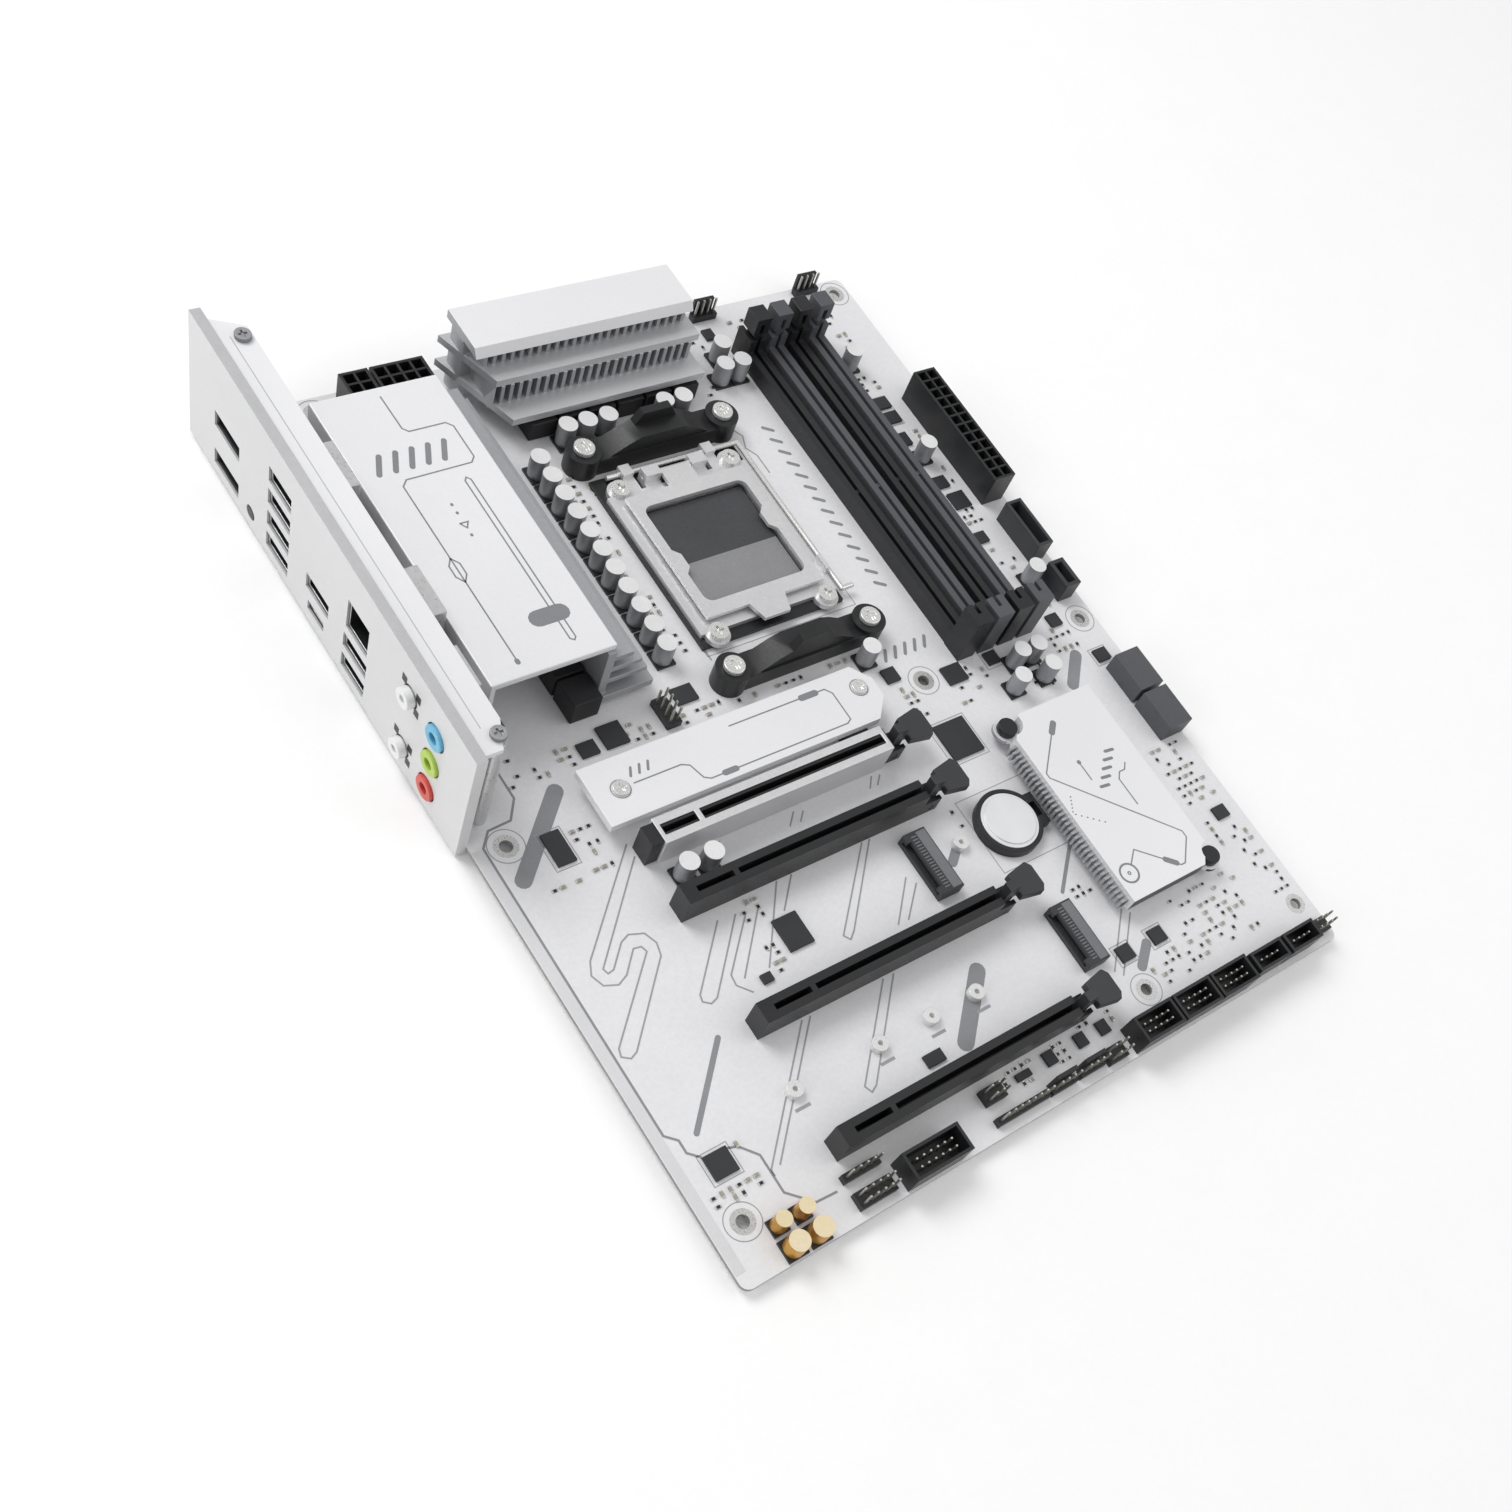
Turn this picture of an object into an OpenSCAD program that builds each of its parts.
// Full-size desktop motherboard, built up as the real one is assembled.
// Places are measured in millimetres from the board's rear edge (x) and its top edge (y);
// heights are measured from the board's upper face. The frame's origin is the centre of the
// four lower standoff holes, on the board's underside: +X to the front edge, +Y to the top edge.

/* [Board] */
// Depth of the board, from the rear edge to the front edge
board_w = 243.84; // [243.84:0.01:250]
// Height of the board, from the top edge to the bottom edge
board_h = 304.8; // [304.8:0.1:310]
// Thickness of the laminate
board_t = 1.57; // [1.2:0.01:2]
// Radius of the board's corners
corner_r = 3; // [1:0.5:4]
// Radius of the nine standoff holes
hole_r = 1.98; // [1.6:0.01:2.2]
// Distance of the rear standoff holes from the rear edge
hole_rear = 10.16; // [8:0.01:12]
// Distance of the middle column of holes from the rear edge
hole_mid = 165.1; // [160:0.1:170]
// Distance of the front holes from the rear edge
hole_front = 237.49; // [236:0.01:240]
// Distance of the top row of holes from the top edge
hole_top = 6.35; // [5:0.01:8]
// Distance of the middle row of holes from the top edge
hole_middle = 163.83; // [160:0.01:168]
// Distance of the bottom row of holes from the top edge
hole_low = 288.29; // [286:0.01:292]
// Distance of the odd top hole from the rear edge
hole_odd = 33.02; // [30:0.01:35]

/* [Rear panel] */
// How far the rear plate stands behind the rear edge
plate_out = 3; // [2.5:0.1:4]
// Sheet thickness of the rear plate
plate_t = 0.8; // [0.5:0.1:1]
// Length of the rear plate
plate_l = 160.5; // [158:0.5:162]
// Top of the rear plate above the board
plate_top = 43.5; // [42.5:0.5:46]
// Bottom of the rear plate below the board's upper face
plate_low = 3; // [2:0.5:4]
// Depth of the plate's folded rim
rim = 2.6; // [1:0.1:3]
// Depth of the top cover over the rear connectors
cover_d = 10.5; // [9:0.5:12]
// Underside height of the top cover
cover_z = 39.6; // [39:0.1:41]
// Wall thickness of the top cover
cover_t = 1.8; // [1.2:0.1:2]

/* [Processor socket] */
// Distance of the socket's centre from the rear edge
socket_x = 128.5; // [127:0.5:130]
// Distance of the socket's centre from the top edge
socket_y = 95; // [94:0.5:96]
// Cooler hole spacing towards the front edge
cooler_x = 54; // [54:0.1:54.2]
// Cooler hole spacing along the board
cooler_y = 90; // [90:0.1:90.2]
// Side of the window for the processor
window = 39.6; // [38:0.1:40]

/* [Memory slots] */
// Distance of the first memory slot's centre from the rear edge
dimm_x = 184.7; // [184:0.1:186]
// Spacing of the memory slots
dimm_pitch = 9.06; // [9:0.01:9.4]
// Width of a memory slot
dimm_w = 6.4; // [6:0.1:6.6]
// Height of a memory slot's rail
dimm_h = 6.5; // [6:0.1:8]
// Far end of the memory slots from the top edge
dimm_top = 20; // [18:0.5:22]
// Near end of the memory slots from the top edge
dimm_end = 162; // [160:0.5:164]

/* [Expansion slots] */
// Rear end of the expansion slots from the rear edge
pcie_x = 42.8; // [42:0.1:44]
// Length of a sixteen-lane slot
pcie_l = 89; // [88:0.1:90]
// Height of an expansion slot
pcie_h = 11.25; // [11:0.05:11.5]
// Width of a plain expansion slot
pcie_w = 6.8; // [6.5:0.1:7.5]
// Distance of the first slot's centre line from the top edge
pcie_y = 182; // [181.5:0.1:182.5]
// Slot pitch of the form factor
slot_pitch = 20.32; // [20.32:0.01:20.33]

/* [Heatsinks] */
// Top face of the rear power-stage heatsink
rear_sink_z = 27; // [26:0.5:30]
// Top face of the upper power-stage heatsink
top_sink_z = 29; // [28:0.5:32]
// Spacing of the upper heatsink's fins
fin_pitch = 3.2; // [2.8:0.1:4]
// Top face of the chipset heatsink
chip_sink_z = 9; // [8:0.5:11]
// Top face of the drive heatsink
drive_sink_z = 8; // [7:0.5:9]

/* [Connectors] */
// Height of the power sockets
power_h = 12.9; // [12:0.1:13.5]
// Pitch of the power contacts
power_pitch = 4.2; // [4.2:0.01:4.21]
// Height of the pin headers' pins
pin_h = 8.5; // [8:0.1:9]
// Pitch of the pin headers
pin_pitch = 2.54; // [2.54:0.01:2.55]
// Radius of an audio jack's bore
jack_r = 1.8; // [1.75:0.01:1.9]
// Diameter of the coin cell
cell_d = 20; // [19.8:0.1:20.2]

/* [Hidden] */

// Round features that hold a pin, screw or plug are true cylinders
$fn = 48;
// Running clearance round hinge pins and screws
gap = 0.05;
// Centre of the four lower standoff holes, which is the frame's origin
origin_x = (hole_rear + hole_front) / 2;
origin_y = (hole_middle + hole_low) / 2;
hole_places = [
  [hole_odd, hole_top], [hole_mid, hole_top], [hole_front, hole_top],
  [hole_rear, hole_middle], [hole_mid, hole_middle], [hole_front, hole_middle],
  [hole_rear, hole_low], [hole_mid, hole_low], [hole_front, hole_low]];

// Places of the rear connectors along the board: [near the top edge, far from it]
video_y = [14, 31];
usb_y = [45.5, 62];
usb_c_y = [69.5, 85];
network_y = [90.5, 107.5];
wireless_y = [120, 133.8];
audio_y = [134.5, 148];
button_y = 37.5;
cover_screw_y = [10, 152.5];
antenna_y = 127.3;
antenna_z = [7, 30.7];
jack_y = 141;
jack_z = [5.6, 17.8, 30];
// Length of a jack's collar, and the middle of it
jack_l = 15.5;
jack_mid = 3.75;
// Port cut-outs in the rear plate: [y, z, width, height]
usb_w = 13;
usb_port_h = 5.8;
usb_levels = [0.5, 9.5, 18.5, 27.3];
network_port = [11.8, 11.5];
network_port_z = 18.6;
video_levels = [0.6, 15.8];
video_port = [15, 5.8];

cooler_places = [for (sx = [-0.5, 0.5], sy = [-0.5, 0.5])
  [socket_x + sx * cooler_x, socket_y + sy * cooler_y]];
socket_screw_places = [for (sx = [-21.6, 21.6], sy = [-29.8, 29.8]) [socket_x + sx, socket_y + sy]];
// Screw boss height and radius of the cooler brackets
boss_h = 8;
boss_r = 5.8;
// Height of the load plate's sheet above the board, and its thickness
load_z = 4.6;
load_t = 1.4;
// Corner radius of the load plate's window, and the outline of a tab on its side
window_r = 3;
window_tab = [[0, 0], [2.2, 2.4], [2.2, 7.6], [0, 10]];
hinge_y = socket_y - 32;
lever_y = socket_y - 36;
lever_x = socket_x + 28.8;
lever_r = 0.9;
lever_z = 3.2;

dimm_tower = 8;
latch_axis_y = dimm_top + 4.5;
latch_axis_z = 3.5;
latch_pin_r = 0.9;
latch_cheek = 11.5;
dimm_groove = 1.5;

pcie_lines = [0, 1, 3, 5];
armour_w = 8.8;
pcie_latch_x = pcie_x + pcie_l + 4;
pcie_latch_z = 2.6;

rear_sink_x = [20, 61];
rear_sink_y = [24.5, 130.5];
fins_x = [58, 77.4];
top_sink_x = [76, 157.5];
m2_sink_x = [37, 142.5];
m2_sink_y = [153.5, 174];
chip_sink_x = [171.5, 213.5];
chip_sink_y = [191, 264];
drive_screw_places = [[46, 164], [136, 161.5]];
push_pin_places = [[176.5, 193], [213.8, 261.5]];

cell_place = [157.6, 220.8];
cap_r = 3.15;
cap_h = 9;

// ---- helpers -------------------------------------------------------------------------

// Moves to a place on the board's upper face
module at(x, y, z = 0) {
  translate([x - origin_x, origin_y - y, board_t + z]) children();
}

// A box from place [x0, y0] to place [x1, y1], between heights z0 and z1
module block(x0, y0, x1, y1, z0, z1) {
  at(x0, y1, z0) cube([x1 - x0, y1 - y0, z1 - z0]);
}

// A round bar along X, centred at a place
module bar_x(x, y, z, r, l) {
  at(x, y, z) rotate([0, 90, 0]) cylinder(r = r, h = l, center = true);
}

// A round bar along Y, centred at a place
module bar_y(x, y, z, r, l) {
  at(x, y, z) rotate([90, 0, 0]) cylinder(r = r, h = l, center = true);
}

// Points round a corner of a window: sx and sy point from the corner towards the middle
function corner(x, y, sx, sy) = [for (i = [0 : 4]) let (a = sx * sy < 0 ? i * 22.5 : 90 - i * 22.5)
  [x + sx * window_r * (1 - sin(a)), y + sy * window_r * (1 - cos(a))]];

// A flat shape given as places on the board, between heights z0 and z1
module sheet(points, z0, z1) {
  at(0, 0, z0) linear_extrude(z1 - z0) polygon([for (p = points) [p[0], -p[1]]]);
}

// A screw with a round head and a cross recess, standing on height z
module screw(x, y, z, head_r, head_h, shank_r, shank_l) {
  difference() {
    union() {
      at(x, y, z) cylinder(r = head_r, h = head_h);
      at(x, y, z - shank_l) cylinder(r = shank_r, h = shank_l);
    }
    cross = head_r * 1.1;
    at(x - cross / 2, y + head_r * 0.14, z + head_h * 0.45) cube([cross, head_r * 0.28, head_h]);
    at(x - head_r * 0.14, y + cross / 2, z + head_h * 0.45) cube([head_r * 0.28, cross, head_h]);
  }
}

// A socket that opens to the rear, with a tongue inside
module rear_port(y, z, w, h, depth, tongue) {
  difference() {
    block(-plate_out - 1, y - w / 2, depth, y + w / 2, z, z + h);
    block(0, y - w / 2 + 1.4, depth, y + w / 2 - 1.4, z + h / 2, z + h / 2 + tongue);
  }
}

// ---- board and rear panel ------------------------------------------------------------

module board() {
  color("whitesmoke")
  difference() {
    translate([-origin_x, origin_y - board_h, 0]) linear_extrude(board_t) {
      translate([corner_r, 0]) square([board_w - 2 * corner_r, board_h]);
      translate([0, corner_r]) square([board_w, board_h - 2 * corner_r]);
      for (x = [corner_r, board_w - corner_r], y = [corner_r, board_h - corner_r])
        translate([x, y]) circle(r = corner_r);
    }
    for (p = hole_places) at(p[0], p[1], -board_t - 1) cylinder(r = hole_r, h = board_t + 2);
    for (p = cooler_places) at(p[0], p[1], -board_t - 1) cylinder(r = 2.2, h = board_t + 2);
  }
}

module rear_plate() {
  top = -1;
  low = plate_l - 1;
  out = -plate_out;
  in = out + plate_t;
  color("gainsboro")
  difference() {
    union() {
      block(out, top, in, low, -plate_low, plate_top);
      block(in, top, in + rim, low, plate_top - plate_t, plate_top);
      block(in, top, in + rim, top + plate_t, -plate_low, plate_top - plate_t);
      block(in, low - plate_t, in + rim, low, -plate_low, plate_top - plate_t);
    }
    for (z = usb_levels) port_cut((usb_y[0] + usb_y[1]) / 2, z, usb_w, usb_port_h);
    for (z = [usb_levels[0], usb_levels[1]])
      port_cut((network_y[0] + network_y[1]) / 2, z, usb_w, usb_port_h);
    port_cut((network_y[0] + network_y[1]) / 2, network_port_z, network_port[0], network_port[1]);
    for (z = video_levels) port_cut((video_y[0] + video_y[1]) / 2, z, video_port[0], video_port[1]);
    port_cut((usb_c_y[0] + usb_c_y[1]) / 2, usb_levels[1], usb_w, usb_port_h);
    port_cut((usb_c_y[0] + usb_c_y[1]) / 2, 1.6, 9.4, 3.6);
    for (z = antenna_z) bar_x(out, antenna_y, z, 3.6, 4);
    for (z = jack_z) bar_x(out, jack_y, z, 4.4, 4);
    bar_x(out, button_y, 3, 2.4, 4);
  }
}

// A rectangular hole in the rear plate, centred on y
module port_cut(y, z, w, h) {
  block(-plate_out - 1, y - w / 2, -plate_out + plate_t + 0.1, y + w / 2, z, z + h);
}

module rear_cover() {
  back = -plate_out + plate_t + rim + 0.2;
  front = cover_d;
  top = 1;
  low = 157;
  color("gainsboro")
  difference() {
    union() {
      sheet([[back, top], [front, top + 5.4], [front, low - 9], [front - 4, low], [back, low]],
        cover_z, cover_z + cover_t);
      block(front - cover_t, 15, front, 145, cover_z - 3.4, cover_z);
    }
    for (y = cover_screw_y) at(7.4, y, cover_z - 1) cylinder(r = 1.5, h = cover_t + 2);
  }
}

module cover_posts() {
  color("silver")
  for (y = cover_screw_y) difference() {
    at(7.4, y) cylinder(r = 2.6, h = cover_z);
    at(7.4, y, cover_z - 8) cylinder(r = 1.3 + gap, h = 9);
  }
}

module cover_screws() {
  color("silver")
  for (y = cover_screw_y) screw(7.4, y, cover_z + cover_t, 2.4, 1.4, 1.3, 8);
}

// ---- rear connectors -----------------------------------------------------------------

module video_ports() {
  y = (video_y[0] + video_y[1]) / 2;
  color("dimgray")
  difference() {
    block(-2, video_y[0], 12.5, video_y[1], 0, 24);
    for (z = video_levels) rear_port(y, z + 0.4, video_port[0] - 0.8, video_port[1] - 0.8, 9.5, 1.2);
  }
}

module usb_stack() {
  y = (usb_y[0] + usb_y[1]) / 2;
  color("dimgray")
  difference() {
    block(-2, usb_y[0], 16.5, usb_y[1], 0, 35);
    for (z = usb_levels) rear_port(y, z + 0.3, usb_w - 0.6, usb_port_h - 0.6, 13, 1.8);
  }
}

module usb_c_stack() {
  y = (usb_c_y[0] + usb_c_y[1]) / 2;
  color("silver")
  difference() {
    block(-2, usb_c_y[0], 15, usb_c_y[1], 0, 17);
    rear_port(y, usb_levels[1] + 0.3, usb_w - 0.6, usb_port_h - 0.6, 12, 1.8);
    rear_port(y, 1.9, 8.9, 3, 8, 0.8);
  }
}

module network_stack() {
  y = (network_y[0] + network_y[1]) / 2;
  w = network_port[0] - 0.4;
  color("silver")
  difference() {
    block(-2, network_y[0], 18.5, network_y[1], 0, 33);
    for (z = [usb_levels[0], usb_levels[1]])
      rear_port(y, z + 0.3, usb_w - 0.6, usb_port_h - 0.6, 13, 1.8);
    block(-3, y - w / 2, 13, y + w / 2, network_port_z + 0.2, network_port_z + network_port[1] - 2.2);
    block(-3, y - 3, 13, y + 3, network_port_z + 1, network_port_z + network_port[1] - 0.2);
  }
}

module wireless_module() {
  color("silver")
  difference() {
    block(-1.9, wireless_y[0], 14, wireless_y[1], 0, 36);
    for (z = antenna_z) bar_x(-1, antenna_y, z, 2.2, 6);
  }
}

module antenna_posts() {
  color("white")
  for (z = antenna_z) difference() {
    union() {
      bar_x(-4.4, antenna_y, z, 3.2, 2.6);
      bar_x(-2.5, antenna_y, z, 2.1, 5);
    }
    bar_x(-5, antenna_y, z, 1.2, 6);
  }
}

module audio_block() {
  color("dimgray")
  difference() {
    block(-1.9, audio_y[0], 13, audio_y[1], 0, 36);
    for (z = jack_z) block(-3, jack_y - 4, 11.5, jack_y + 4, z - 4, z + 4);
  }
}

// One coloured audio jack: a collar with a bore, seated in the audio block
module jack(z) {
  difference() {
    bar_x(jack_mid, jack_y, z, 3.95, jack_l);
    bar_x(jack_mid, jack_y, z, jack_r, jack_l + 1);
  }
}

module audio_jack_blue() {
  color("skyblue") jack(jack_z[2]);
}

module audio_jack_green() {
  color("palegreen") jack(jack_z[1]);
}

module audio_jack_red() {
  color("tomato") jack(jack_z[0]);
}

module button_switch() {
  color("dimgray")
  difference() {
    block(1.2, button_y - 3.2, 7.5, button_y + 3.2, 0, 6);
    bar_x(1, button_y, 3, 1.4 + gap, 4.5);
  }
}

module flash_button() {
  color("black") {
    bar_x(-1.6, button_y, 3, 2.1, 3);
    bar_x(0.6, button_y, 3, 1.4, 1.6);
  }
}

// ---- power stages and their heatsinks ------------------------------------------------

module rear_sink_cover() {
  x0 = rear_sink_x[0];
  x1 = rear_sink_x[1];
  y0 = rear_sink_y[0];
  y1 = rear_sink_y[1];
  color("gainsboro") {
    block(x0, y0, x1, y1, rear_sink_z - 2.5, rear_sink_z);
    block(x0, y0, x0 + 2, y1, rear_sink_z - 9.5, rear_sink_z - 2.5);
  }
}

module rear_sink_fins() {
  y0 = 27;
  y1 = 131.5;
  top = rear_sink_z - 2.5;
  color("darkgray") {
    // upright web that carries the cover
    block(58, y0, 61, y1, 5, top);
    // base over the power stages, then two ledges that step out towards the front
    block(fins_x[0], y0, fins_x[1], y1 + 1.5, 2.2, 5);
    block(61, y0, 74.6, y1, 9, 11);
    block(61, y0, 71.6, y1, 14.6, 16.6);
    block(61, y0, 67.4, y1, 20, 22);
    // ribs between the ledges
    for (y = [y0 + 3 : 6 : y1 - 3]) {
      block(61, y, 73, y + 1.4, 5, 9);
      block(61, y, 70, y + 1.4, 11, 14.6);
      block(61, y, 66, y + 1.4, 16.6, 20);
    }
  }
}

module top_sink() {
  x0 = top_sink_x[0];
  x1 = top_sink_x[1];
  t = top_sink_z;
  color("lightgray")
  difference() {
    union() {
      // web, top plate with a bevelled lip, and two ledges below it
      block(x0, 7, x1, 14, 2.2, t - 3);
      at(x0, 0, 0) rotate([90, 0, 90]) linear_extrude(x1 - 1 - x0)
        polygon([[-3.7, t], [-20.2, t], [-22, t - 3], [-3.7, t - 3]]);
      block(x0 - 3, 5, x1, 27, t - 11, t - 8.4);
      block(x0 - 3, 5, x1, 34.8, t - 20.6, t - 18);
      block(x0 + 8, 14, x1, 21, 2.2, t - 20.6);
      // fins between the ledges
      for (x = [x0 + 4 : fin_pitch : x1 - 2]) {
        block(x, 14, x + 1.3, 20.4, t - 8.4, t - 3);
        block(x, 14, x + 1.3, 27.4, t - 18, t - 11);
      }
    }
    // the rear end is cut off at a slant below the top plate
    at(x0 - 4, 36, -1) linear_extrude(t - 3) polygon([[-8, -1], [13, -1], [1, 31], [-8, 31]]);
  }
}

module rear_chokes() {
  color([0.12, 0.12, 0.13])
  for (i = [0 : 9]) block(47.5, 28 + i * 10.8, 57.5, 38 + i * 10.8, 0, 9);
}

module top_chokes() {
  color([0.12, 0.12, 0.13])
  for (i = [0 : 5]) block(91 + i * 11, 25.6, 101 + i * 11, 35.6, 0, 7);
}

module power_stages() {
  color([0.15, 0.15, 0.16]) {
    for (i = [0 : 9]) block(62, 30 + i * 10.2, 68, 35 + i * 10.2, 0, 1);
    for (i = [0 : 5]) block(92 + i * 10.6, 12, 97 + i * 10.6, 18, 0, 1);
  }
}

module thermal_pads() {
  color("lightsteelblue") {
    block(61, 29, 69, 128, 1, 2.2);
    block(91, 12, 152, 18, 1, 2.2);
  }
}

// ---- processor socket ----------------------------------------------------------------

module socket_base() {
  h = window / 2;
  color([0.1, 0.1, 0.1])
  difference() {
    block(socket_x - 28, socket_y - 37.5, socket_x + 28, socket_y + 32, 0, 1.6);
    for (p = socket_screw_places) at(p[0], p[1], -1) cylinder(r = 1.6, h = 4);
  }
  color([0.1, 0.1, 0.1])
  block(socket_x - h, socket_y - h, socket_x + h, socket_y + h, 1.6, 2.8);
}

module socket_frame() {
  color("silver")
  difference() {
    union() {
      block(socket_x - 27, socket_y - 28.5, socket_x + 27, socket_y + 28.5, 1.6, 3.4);
      for (p = socket_screw_places) at(p[0], p[1], 1.6) cylinder(r = 4.2, h = 1.8);
      // hinge ears for the load plate
      for (s = [-1, 1]) {
        block(socket_x + s * 9 - 3, hinge_y - 2, socket_x + s * 9 + 3, socket_y - 28, 1.6, 3.4);
        block(socket_x + s * 9 - 3, hinge_y - 2, socket_x + s * 9 + 3, hinge_y + 2, 3.4, 6.8);
      }
      // cradles for the lever, on tongues of the frame
      for (x = [socket_x - 16, socket_x + 16]) {
        block(x - 2, lever_y - 1.9, x + 2, lever_y + 2.2, 1.6, lever_z + 2);
        block(x - 2, lever_y, x + 2, socket_y - 28, 1.6, 3.4);
      }
      // side tab that the lever rests against
      block(socket_x + 26, socket_y + 16, socket_x + 27.6, socket_y + 22, 1.6, 6.4);
    }
    block(socket_x - 20.5, socket_y - 20.5, socket_x + 20.5, socket_y + 20.5, 0, 5);
    for (p = socket_screw_places) at(p[0], p[1], 0) cylinder(r = 1.7, h = 5);
    bar_x(socket_x, hinge_y, 4.8, 1 + gap, 40);
    bar_x(socket_x, lever_y, lever_z, lever_r + gap, 60);
  }
}

module load_plate() {
  w = window / 2;
  color("gainsboro") {
    difference() {
      union() {
        block(socket_x - 23, socket_y - 25, socket_x + 23, socket_y + 25, load_z, load_z + load_t);
        // nose at the lever's side
        sheet([[socket_x - 7, socket_y + 25], [socket_x + 7, socket_y + 25],
          [socket_x + 5, socket_y + 31.6], [socket_x - 5, socket_y + 31.6]], load_z, load_z + load_t);
        // hinge arm and knuckle between the ears
        block(socket_x - 5.6, hinge_y, socket_x + 5.6, socket_y - 25, load_z, load_z + load_t);
      }
      // window with rounded corners, and a sloped tab half way down each side
      sheet(concat(
        corner(socket_x + w, socket_y - w, -1, 1),
        [for (p = window_tab) [socket_x + w - p[0], socket_y - 8 + p[1]]],
        corner(socket_x + w, socket_y + w, -1, -1),
        corner(socket_x - w, socket_y + w, 1, -1),
        [for (p = window_tab) [socket_x - w + p[0], socket_y + 8 - p[1]]],
        corner(socket_x - w, socket_y - w, 1, 1)), 0, 9);
      for (p = socket_screw_places) at(p[0], p[1], 0) cylinder(r = 4.6, h = 9);
    }
    bar_x(socket_x, hinge_y, 4.8, 1, 23.5);
  }
}

module socket_contacts() {
  w = window / 2 - 0.6;
  color([0.22, 0.22, 0.23])
  block(socket_x - w, socket_y - w, socket_x + w, socket_y + w, 2.8, 3.3);
}

module load_lever() {
  far = socket_y + 29;
  color("silver") {
    bar_x((socket_x - 23 + lever_x) / 2, lever_y, lever_z, lever_r, lever_x - socket_x + 23);
    bar_y(lever_x, (far + lever_y) / 2, lever_z, lever_r, far - lever_y);
    at(lever_x, lever_y, lever_z) sphere(r = lever_r);
    at(lever_x, far, lever_z) sphere(r = lever_r);
    bar_x(lever_x + 2, far, lever_z, lever_r, 4);
    at(lever_x + 4, far, lever_z) sphere(r = lever_r);
  }
}

module socket_screws() {
  color("silver")
  for (p = socket_screw_places) screw(p[0], p[1], 3.4, 3.2, 1.8, 1.5, 3.4);
}

module socket_backplate() {
  color("darkgray")
  difference() {
    block(socket_x - 33, socket_y - 50, socket_x + 33, socket_y + 50, -board_t - 2, -board_t);
    for (p = cooler_places) at(p[0], p[1], -board_t - 3) cylinder(r = 1.7 + gap, h = 4);
    block(socket_x - 16, socket_y - 16, socket_x + 16, socket_y + 16, -board_t - 3, 0);
  }
}

// One cooler bracket; turned is -1 above the socket and 1 below it
module cooler_bracket(turned) {
  y = socket_y + turned * cooler_y / 2;
  half = cooler_x / 2;
  color([0.09, 0.09, 0.1])
  difference() {
    union() {
      for (s = [-1, 1]) at(socket_x + s * half, y) cylinder(r = boss_r, h = boss_h);
      block(socket_x - half, y - 4.6, socket_x + half, y + 4.6, 0, boss_h - 1.4);
      // hump that carries the cooler's hook
      at(socket_x, y - 4, 0) rotate([90, 0, 0]) linear_extrude(8)
        polygon([[-19, boss_h - 1.4], [-12, 10.5], [-8, 12], [8, 12], [12, 10.5], [19, boss_h - 1.4]]);
      at(socket_x, y + turned * 2.6 - 1.4, 0) rotate([90, 0, 0]) linear_extrude(2.8)
        polygon([[-8, 12], [-5.4, 16.4], [5.4, 16.4], [8, 12]]);
    }
    for (s = [-1, 1]) at(socket_x + s * half, y, -1) cylinder(r = 1.9, h = boss_h + 2);
    // hollow under the middle of the bracket
    block(socket_x - 16, y - 2.4, socket_x + 16, y + 2.4, -1, 4.5);
  }
}

module cooler_bracket_top() {
  cooler_bracket(-1);
}

module cooler_bracket_low() {
  cooler_bracket(1);
}

module cooler_screws() {
  color("silver")
  for (p = cooler_places) screw(p[0], p[1], boss_h, 3.5, 1.8, 1.7, boss_h + board_t + 2);
}

// ---- memory slots --------------------------------------------------------------------

// One memory slot: a grooved rail, a fixed tower at its lower end and a latch fork at its top
module dimm_slot(i) {
  x = dimm_x + i * dimm_pitch;
  w = dimm_w / 2;
  low = dimm_end - dimm_tower;
  difference() {
    union() {
      block(x - w, dimm_top + dimm_tower, x + w, low, 0, dimm_h);
      block(x - w - 0.3, low, x + w + 0.3, dimm_end, 0, 19.5);
      block(x - w - 0.3, dimm_top, x + w + 0.3, dimm_top + dimm_tower, 0, latch_cheek);
    }
    block(x - dimm_groove / 2, dimm_top, x + dimm_groove / 2, dimm_end - 4, 2.5, 30);
    block(x - 1.7, dimm_top - 1, x + 1.7, dimm_top + dimm_tower - 0.6, -1, 20);
    bar_x(x, latch_axis_y, latch_axis_z, latch_pin_r + gap, dimm_w + 2);
  }
  // key that splits the groove
  block(x - dimm_groove / 2, socket_y - 3, x + dimm_groove / 2, socket_y - 1.5, 2.5, 5.8);
}

module dimm_slots() {
  for (i = [0 : 3]) color(i % 2 == 0 ? [0.12, 0.12, 0.13] : [0.42, 0.42, 0.43]) dimm_slot(i);
}

// The latch that tips outwards to let a memory module go
module dimm_latch(i) {
  x = dimm_x + i * dimm_pitch;
  color(i % 2 == 0 ? [0.15, 0.15, 0.16] : [0.42, 0.42, 0.43]) {
    bar_x(x, latch_axis_y, latch_axis_z, latch_pin_r, dimm_w - 0.2);
    bar_x(x, latch_axis_y, latch_axis_z, 2.4, 3);
    block(x - 1.5, latch_axis_y - 2.4, x + 1.5, latch_axis_y + 2.4, latch_axis_z, 13.6);
    difference() {
      block(x - 3.1, latch_axis_y - 3.6, x + 3.1, latch_axis_y + 3, 13.6, 20.6);
      block(x - 0.8, latch_axis_y - 1, x + 0.8, latch_axis_y + 4, 12, 18);
    }
  }
}

module dimm_latch_1() {
  dimm_latch(0);
}

module dimm_latch_2() {
  dimm_latch(1);
}

module dimm_latch_3() {
  dimm_latch(2);
}

module dimm_latch_4() {
  dimm_latch(3);
}

// ---- expansion slots -----------------------------------------------------------------

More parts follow.
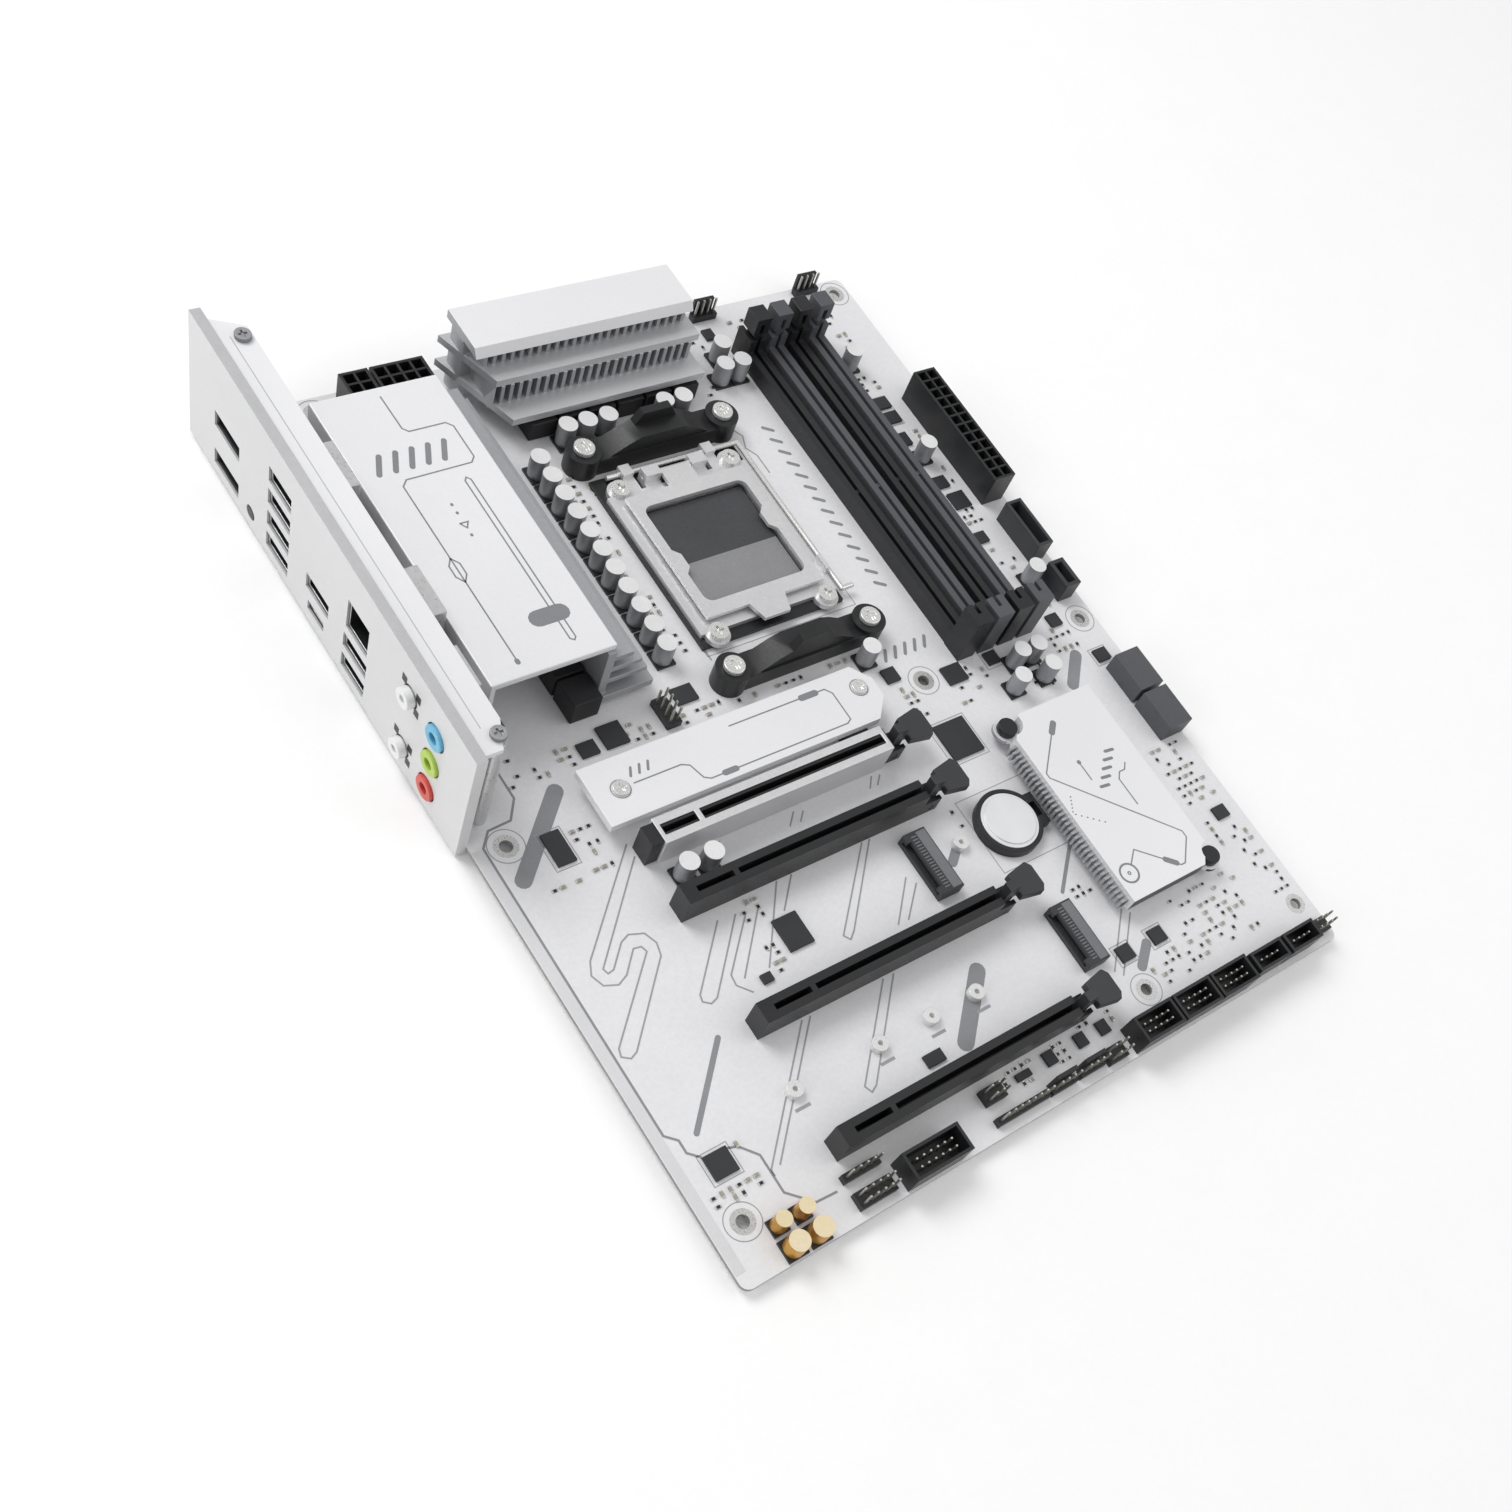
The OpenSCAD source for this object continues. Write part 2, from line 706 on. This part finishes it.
// One sixteen-lane slot with its key, and a fork at its front end for the latch
module pcie_slot(line) {
  y = pcie_y + line * slot_pitch;
  w = pcie_w / 2;
  end = pcie_x + pcie_l;
  difference() {
    union() {
      block(pcie_x, y - w, end, y + w, 0, pcie_h);
      block(end, y - w, end + 7, y + w, 0, 6.4);
    }
    block(pcie_x + 4.5, y - 0.9, pcie_x + 17.2, y + 0.9, 2.6, pcie_h + 1);
    block(pcie_x + 19, y - 0.9, end + 1, y + 0.9, 2.6, pcie_h + 1);
    block(end + 0.8, y - 1.9, end + 8, y + 1.9, -1, 8);
    bar_y(pcie_latch_x, y, pcie_latch_z, 1 + gap, pcie_w + 2);
    // slanted rear end
    at(pcie_x, y, pcie_h) rotate([0, 40, 0]) translate([-8, -10, -1]) cube([8, 20, 4]);
  }
}

module pcie_slot_1() {
  color([0.12, 0.12, 0.13]) pcie_slot(pcie_lines[0]);
}

// Folded steel sleeve round the first slot
module pcie_armour_1() {
  y = pcie_y;
  w = armour_w / 2;
  end = pcie_x + pcie_l;
  color("silver")
  difference() {
    block(pcie_x + 4, y - w, end - 0.6, y + w, 0, pcie_h + 0.5);
    block(pcie_x + 3, y - pcie_w / 2, end + 1, y + pcie_w / 2, -1, pcie_h);
    block(pcie_x + 5.4, y - 1.8, pcie_x + 17.2, y + 1.8, pcie_h - 1, pcie_h + 2);
    block(pcie_x + 19, y - 1.8, end - 2, y + 1.8, pcie_h - 1, pcie_h + 2);
  }
}

module pcie_slots() {
  color([0.12, 0.12, 0.13])
  for (i = [1 : 3]) pcie_slot(pcie_lines[i]);
}

// The latch that holds a card's hook at the front end of a slot
module pcie_latch(line) {
  x = pcie_latch_x;
  y = pcie_y + line * slot_pitch;
  color([0.16, 0.16, 0.17]) {
    bar_y(x, y, pcie_latch_z, 1, pcie_w - 0.2);
    bar_y(x, y, pcie_latch_z, 2.1, 3.4);
    block(x - 2.1, y - 1.7, x + 2.1, y + 1.7, pcie_latch_z, 14.5);
    block(x - 2.1, y - 1.7, x + 5, y + 1.7, 8, 11);
    sheet([[x + 3, y - 4.6], [x + 11, y - 6], [x + 12.5, y - 4], [x + 12.5, y + 3], [x + 11, y + 5],
      [x + 3, y + 3.6]], 8, 11);
  }
}

module pcie_latch_1() {
  pcie_latch(pcie_lines[0]);
}

module pcie_latch_2() {
  pcie_latch(pcie_lines[1]);
}

module pcie_latch_3() {
  pcie_latch(pcie_lines[2]);
}

module pcie_latch_4() {
  pcie_latch(pcie_lines[3]);
}

// ---- drive sockets and their heatsink ------------------------------------------------

module drive_sink() {
  x0 = m2_sink_x[0];
  x1 = m2_sink_x[1];
  y0 = m2_sink_y[0];
  y1 = m2_sink_y[1];
  color("gainsboro")
  difference() {
    union() {
      sheet([[x0, y0], [x1 - 5, y0], [x1, y0 + 6.5], [x1, y1 - 7], [x1 - 6.5, y1], [x0, y1]],
        5, drive_sink_z);
      // feet at both ends
      for (p = drive_screw_places) at(p[0], p[1], 4.2) cylinder(r = 3, h = 0.8);
    }
    for (p = drive_screw_places) at(p[0], p[1], 3) cylinder(r = 1.3, h = 8);
  }
}

module drive_sink_screws() {
  color("silver")
  for (p = drive_screw_places) screw(p[0], p[1], drive_sink_z, 2.6, 1, 1.1, drive_sink_z - 1);
}

// One edge socket for a flat drive card, open towards the rear edge
module drive_socket(x, y) {
  difference() {
    block(x, y, x + 8.6, y + 22.5, 0, 4.6);
    block(x - 1, y + 1.4, x + 5, y + 21.1, 1.7, 2.9);
    block(x - 1, y + 3, x + 1.6, y + 19.5, 1.7, 6);
  }
}

module drive_sockets() {
  color([0.12, 0.12, 0.12]) {
    drive_socket(119.5, 211);
    drive_socket(149.2, 252);
    drive_socket(123.5, 152.6);
  }
}

module drive_standoffs() {
  color("gold")
  for (p = drive_screw_places) drive_standoff(p, 4.2, 1.1 + gap);
  color("lightgray")
  for (p = [[43.2, 264], [73.8, 264], [93.2, 264], [111, 264], [138, 220]]) drive_standoff(p, 2.6, 0.8);
}

module drive_standoff(p, h, r) {
  difference() {
    at(p[0], p[1]) cylinder(r = 2.6, h = h);
    at(p[0], p[1], 0.6) cylinder(r = r, h = h);
  }
}

// ---- chipset, cell -------------------------------------------------------------------

module chipset() {
  color([0.15, 0.17, 0.16]) {
    block(186, 214, 207, 235, 0, 1.2);
    block(191, 219, 202, 230, 1.2, 2.2);
  }
}

module chipset_sink() {
  x0 = chip_sink_x[0];
  x1 = chip_sink_x[1];
  y0 = chip_sink_y[0];
  y1 = chip_sink_y[1];
  color("gainsboro")
  difference() {
    union() {
      sheet([[x0 + 10, y0], [x1, y0], [x1, y1 - 7], [x1 - 6, y1], [x0 + 3, y1], [x0 + 3, y0 + 8]],
        3.4, chip_sink_z);
      // ribs down the rear side
      for (y = [y0 + 9 : 1.8 : y1 - 1.2]) block(x0, y, x0 + 3, y + 0.9, 3.4, chip_sink_z - 1.6);
      block(188, 216, 205, 233, 2.2, 3.4);
      // lugs for the push pins
      for (p = push_pin_places) at(p[0], p[1], 3.4) cylinder(r = 4.4, h = 1.4);
    }
    for (p = push_pin_places) at(p[0], p[1], 0) cylinder(r = 1.7, h = 8);
    for (p = push_pin_places) at(p[0], p[1], 4.8) cylinder(r = 4.4, h = 8);
  }
}

module chipset_pins() {
  color([0.08, 0.08, 0.08])
  for (p = push_pin_places) {
    at(p[0], p[1], 0) cylinder(r = 1.6, h = 4.8);
    at(p[0], p[1], 4.8) cylinder(r = 3.4, h = 2.6);
  }
}

module cell_holder() {
  x = cell_place[0];
  y = cell_place[1];
  r = cell_d / 2;
  color([0.1, 0.1, 0.1])
  difference() {
    union() {
      at(x, y) cylinder(r = r + 1.6, h = 3.6);
      block(x + r - 2, y - 6, x + r + 3.4, y + 6, 0, 3.6);
    }
    at(x, y, 1) cylinder(r = r + 0.2, h = 4);
    block(x + r - 1, y - 2.6, x + r + 2.4, y + 2.6, 1, 5);
  }
}

module coin_cell() {
  color("lightgray") {
    at(cell_place[0], cell_place[1], 1) cylinder(r = cell_d / 2, h = 2.6);
    at(cell_place[0], cell_place[1], 3.6) cylinder(r = cell_d / 2 - 1.2, h = 0.6);
  }
}

// ---- power, data and pin connectors --------------------------------------------------

// A power socket with two rows of square cells; along_y turns its long side along Y
module power_socket(x, y, cells, along_y) {
  l = cells * power_pitch + 1.2;
  w = 2 * power_pitch + 1.2;
  lx = along_y ? w : l;
  ly = along_y ? l : w;
  difference() {
    block(x, y, x + lx, y + ly, 0, power_h);
    for (i = [0 : cells - 1], j = [0, 1]) {
      a = 0.6 + i * power_pitch;
      b = 0.6 + j * power_pitch;
      cx = x + (along_y ? b : a) + 0.4;
      cy = y + (along_y ? a : b) + 0.4;
      block(cx, cy, cx + power_pitch - 0.8, cy + power_pitch - 0.8, 3, power_h + 1);
    }
  }
  // ramp for the plug's catch
  if (along_y) block(x + w, y + l / 2 - 3, x + w + 1, y + l / 2 + 3, power_h - 4, power_h - 1);
  // contacts
  for (i = [0 : cells - 1], j = [0, 1]) {
    a = 0.6 + (i + 0.5) * power_pitch;
    b = 0.6 + (j + 0.5) * power_pitch;
    at(x + (along_y ? b : a) - 0.5, y + (along_y ? a : b) + 0.5, 3) cube([1, 1, 7]);
  }
}

module power_sockets() {
  color([0.08, 0.08, 0.08]) {
    power_socket(232.6, 57.7, 12, true);
    power_socket(40.4, 4.5, 2, false);
    power_socket(50.6, 4.5, 4, false);
  }
}

// A data port on the front edge, with an L-shaped mouth that faces forwards
module sata_port(y) {
  difference() {
    block(233, y, board_w, y + 15.6, 0, 7.6);
    block(236, y + 1.6, board_w + 1, y + 14, 2.6, 5);
    block(236, y + 11.8, board_w + 1, y + 14, 1.2, 5);
  }
}

module data_ports() {
  color([0.16, 0.16, 0.17]) {
    sata_port(184.6);
    sata_port(201.4);
  }
  // shrouded front USB socket
  color([0.1, 0.1, 0.1]) difference() {
    block(234, 116.5, 241, 137, 0, 9);
    block(235.2, 117.7, 239.8, 135.8, 2, 10);
  }
  // front USB-C socket with a metal shell
  color("darkgray") difference() {
    block(233.6, 143.5, 240.4, 155, 0, 8.4);
    block(235.2, 145, 238.8, 153.5, 2, 9);
  }
}

// A plain pin header: a low strip with square pins
module pin_header(x, y, nx, ny) {
  block(x, y, x + nx * pin_pitch, y + ny * pin_pitch, 0, 2.5);
  for (i = [0 : nx - 1], j = [0 : ny - 1])
    at(x + (i + 0.5) * pin_pitch - 0.32, y + (j + 0.5) * pin_pitch + 0.32, 2.5)
      cube([0.64, 0.64, pin_h - 2.5]);
}

// A shrouded header: an open box round its pins
module box_header(x, y, lx, ly, nx, ny) {
  difference() {
    block(x, y, x + lx, y + ly, 0, 8.8);
    block(x + 1, y + 1, x + lx - 1, y + ly - 1, 2, 10);
  }
  for (i = [0 : nx - 1], j = [0 : ny - 1])
    at(x + lx / 2 + (i - nx / 2 + 0.5) * pin_pitch - 0.32,
      y + ly / 2 + (j - ny / 2 + 0.5) * pin_pitch + 0.32, 2) cube([0.64, 0.64, 6]);
}

// A fan header: a strip with a back wall that guides the plug
module fan_header(x, y) {
  pin_header(x, y, 4, 1);
  block(x + 1, y - 1.2, x + 4 * pin_pitch - 1, y, 0, 7.5);
}

module headers() {
  color([0.1, 0.1, 0.1]) {
    fan_header(174.2, 2.6);
    fan_header(220.4, 1.6);
    fan_header(112.6, 299.4);
    fan_header(124.4, 299.4);
    pin_header(40.4, 297, 5, 2);
    pin_header(40.4, 291, 5, 1);
    pin_header(91.4, 299.2, 8, 1);
    pin_header(92, 290, 3, 2);
    pin_header(136, 298, 3, 2);
    pin_header(74, 138, 2, 4);
    box_header(56, 295, 20.5, 9, 6, 2);
    for (i = [0 : 2]) box_header(147.5 + i * 17.2, 295, 16.4, 9, 5, 2);
    box_header(200, 296, 14.6, 7, 4, 1);
    box_header(216, 296, 14.6, 7, 4, 1);
    pin_header(231.6, 296.4, 4, 2);
  }
}

// ---- capacitors and chips ------------------------------------------------------------

// A can capacitor on its square plastic foot
module can(x, y, r, h) {
  block(x - r - 0.2, y - r - 0.2, x + r + 0.2, y + r + 0.2, 0, 1);
  at(x, y, 1) cylinder(r = r, h = h - 1);
}

module capacitors() {
  color("gainsboro") {
    for (i = [0 : 10]) can(86.3, 48.7 + i * 7.63, cap_r, cap_h);
    for (p = [[101.8, 39.6], [109.2, 39.6], [117, 39.6], [139, 39.6], [146.4, 39.6],
      [169, 31.4], [176.2, 31.4], [173.5, 22.5], [220.5, 39.2], [222.4, 84], [228.3, 143.4],
      [200, 170.4], [207.4, 170.4], [193.6, 179], [207.4, 179], [51.4, 192.8], [60, 192.8],
      [149.4, 150]]) can(p[0], p[1], cap_r, cap_h);
  }
  color("goldenrod")
  for (p = [[17.6, 294], [25.2, 294], [18, 301], [26, 301]]) can(p[0], p[1], p[1] > 300 ? 3.1 : 2.4, 7);
}

// Flat packages: [rear side, top side, length along x, length along y]
chip_places = [
  [20, 165, 6, 11], [9.6, 268.2, 7.6, 7.6], [67, 216.8, 8.6, 11], [54, 230, 3.6, 3],
  [82, 136, 7.6, 6], [45, 142.4, 6, 5], [152, 155.4, 5.4, 5.4], [156, 180.6, 12.6, 13.6],
  [191.2, 163, 5, 5], [232, 177.2, 5.6, 5], [172.6, 162.4, 8, 7], [224, 158.6, 5, 5],
  [232, 246.4, 5.6, 4.8], [163.4, 272.4, 5.6, 5.4], [178, 272.4, 5.6, 5.4], [83.6, 273, 6.6, 4],
  [220, 55.4, 6, 5], [220, 62.2, 6, 5], [220, 72, 3.4, 5.6], [220, 93.4, 5.6, 5],
  [221.4, 101.4, 7, 7], [220, 119.4, 5, 4.6], [175, 9.4, 4, 4.6], [118, 289.4, 4, 4.6],
  [131, 289.4, 4, 4.6], [140.4, 289.4, 4, 4.6], [106, 291, 5.6, 2.4], [53.4, 139.4, 8, 8]];

module chips() {
  color([0.14, 0.14, 0.15])
  for (c = chip_places) block(c[0], c[1], c[0] + c[2], c[1] + c[3], 0, 1.1);
}

// ---- the assembly --------------------------------------------------------------------

board();
rear_plate();
rear_cover();
cover_posts();
cover_screws();
video_ports();
usb_stack();
usb_c_stack();
network_stack();
wireless_module();
antenna_posts();
audio_block();
audio_jack_blue();
audio_jack_green();
audio_jack_red();
button_switch();
flash_button();
rear_sink_cover();
rear_sink_fins();
top_sink();
rear_chokes();
top_chokes();
power_stages();
thermal_pads();
socket_base();
socket_frame();
load_plate();
socket_contacts();
load_lever();
socket_screws();
socket_backplate();
cooler_bracket_top();
cooler_bracket_low();
cooler_screws();
dimm_slots();
dimm_latch_1();
dimm_latch_2();
dimm_latch_3();
dimm_latch_4();
pcie_slot_1();
pcie_armour_1();
pcie_slots();
pcie_latch_1();
pcie_latch_2();
pcie_latch_3();
pcie_latch_4();
drive_sink();
drive_sink_screws();
drive_sockets();
drive_standoffs();
chipset();
chipset_sink();
chipset_pins();
cell_holder();
coin_cell();
power_sockets();
data_ports();
headers();
capacitors();
chips();
